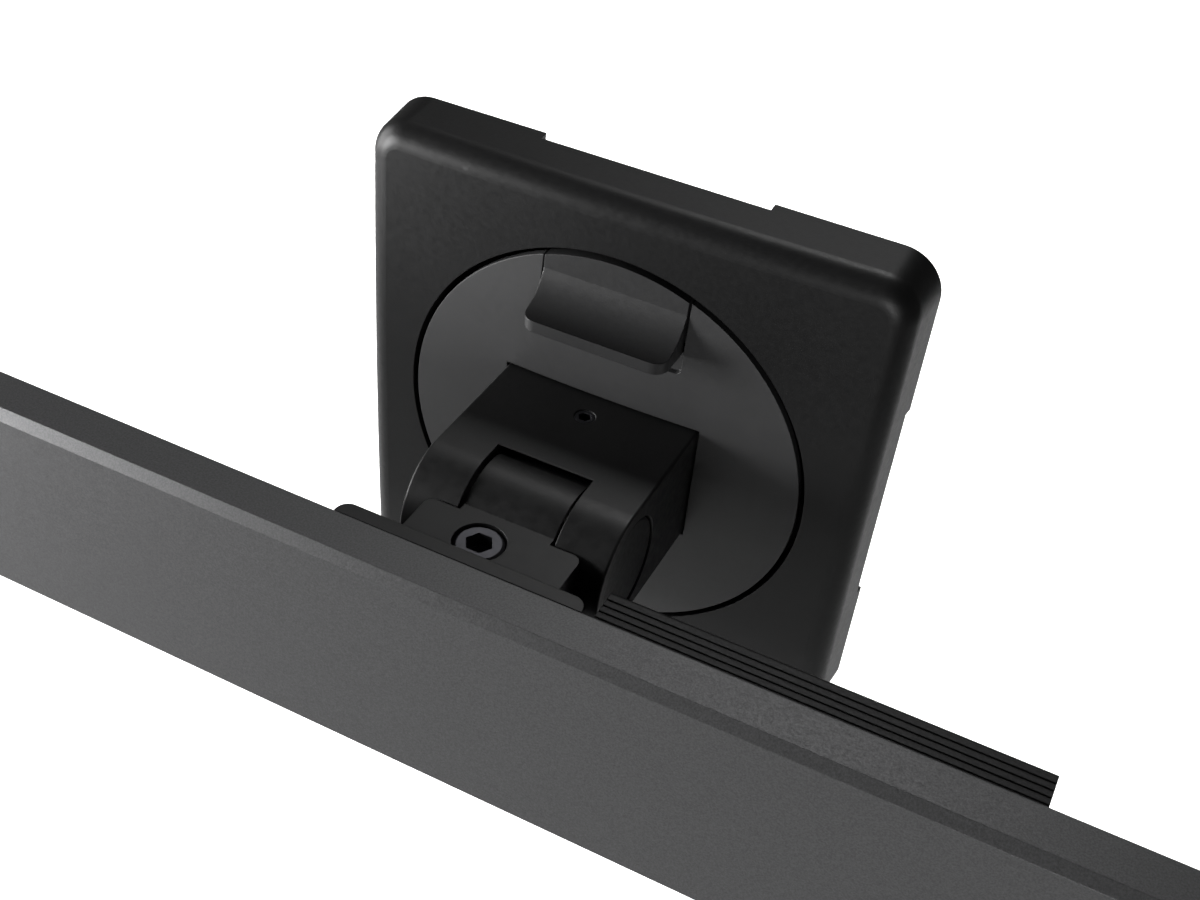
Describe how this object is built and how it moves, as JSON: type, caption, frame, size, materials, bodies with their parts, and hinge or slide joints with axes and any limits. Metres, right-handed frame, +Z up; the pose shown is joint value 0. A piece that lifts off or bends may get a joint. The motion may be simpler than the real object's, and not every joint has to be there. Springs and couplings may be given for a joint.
{
  "type": "picture light",
  "caption": "Flat lamp bar on a rail clamp, a tilting hinge and a quick-release swivel disc in a square wall plate.",
  "frame": {"origin": "middle of the wall plate's back, on the wall", "axes": "+Y into the wall, +X along the lamp bar, +Z up"},
  "size_m": [0.45, 0.0843, 0.1206],
  "materials": {
    "moulded_black": "fine matte moulded texture",
    "cast_black": "satin black powder coat",
    "bar_black": "black anodised over fine bead blasting",
    "housing_black": "black anodised, grooved",
    "screw_black": "black oxide",
    "black_steel": "black coated",
    "zinc_steel": "zinc plated",
    "spring_steel": "blued",
    "bearing_plastic": "natural low-friction plastic",
    "bronze": "sintered bronze",
    "board": "white solder mask",
    "components": "phosphor and moulded parts",
    "opal": "opal diffusing",
    "rubber_black": "satin"
  },
  "bodies": {
    "wall_plate": {"back_plate": "black_steel", "wall_cover": "moulded_black", "cover_screws": "zinc_steel", "receiver_ring": "black_steel", "receiver_screws": "black_steel", "glide_ring": "bearing_plastic"},
    "swivel_head": {"swivel_disc": "moulded_black", "hub_plate": "zinc_steel", "hub_screws": "zinc_steel", "block_screws": "zinc_steel", "return_spring": "spring_steel", "hinge_block": "cast_black", "tilt_bolt": "zinc_steel", "disc_springs": "spring_steel", "tilt_nut": "zinc_steel", "pin_cap_right": "moulded_black", "pin_cap_left": "moulded_black", "friction_washers": "bearing_plastic", "tension_screw": "screw_black", "friction_plunger": "bearing_plastic"},
    "release": {"release_slider": "moulded_black", "latch_bolt": "zinc_steel", "bolt_screws": "zinc_steel"},
    "tilt_arm": {"tilt_head": "cast_black", "barrel_bush": "bronze", "clamp_jaw": "cast_black", "clamp_screw": "screw_black"},
    "lamp_bar": {"bar_extrusion": "bar_black", "end_cap_right": "moulded_black", "end_cap_left": "moulded_black", "end_cap_screws": "screw_black", "led_board": "board", "led_chips": "components", "board_screws": "zinc_steel", "diffuser": "opal", "rail_stop": "cast_black", "stop_screw": "screw_black", "driver_housing": "housing_black", "housing_screws": "screw_black", "driver_board": "board", "driver_parts": "components", "power_inlet": "moulded_black", "lead_grommet": "rubber_black", "led_leads": "rubber_black"}
  },
  "joints": [
    {"name": "swivel", "type": "hinge", "parent": "wall_plate", "child": "swivel_head", "pos_m": [0, 0, 0], "axis": [0, 1, 0], "range_deg": [-90, 90]},
    {"name": "release_slide", "type": "slide", "parent": "swivel_head", "child": "release", "axis": [0, 0, -1], "range_m": [0, 0.004], "stiffness_N_per_m": 800, "springref_m": -0.002, "deforming": ["return_spring"]},
    {"name": "tilt", "type": "hinge", "parent": "swivel_head", "child": "tilt_arm", "pos_m": [0, -0.0472, 0], "axis": [1, 0, 0], "range_deg": [-45, 45]},
    {"name": "bar_slide", "type": "slide", "parent": "tilt_arm", "child": "lamp_bar", "axis": [1, 0, 0], "range_m": [0, 0.1]}
  ]
}
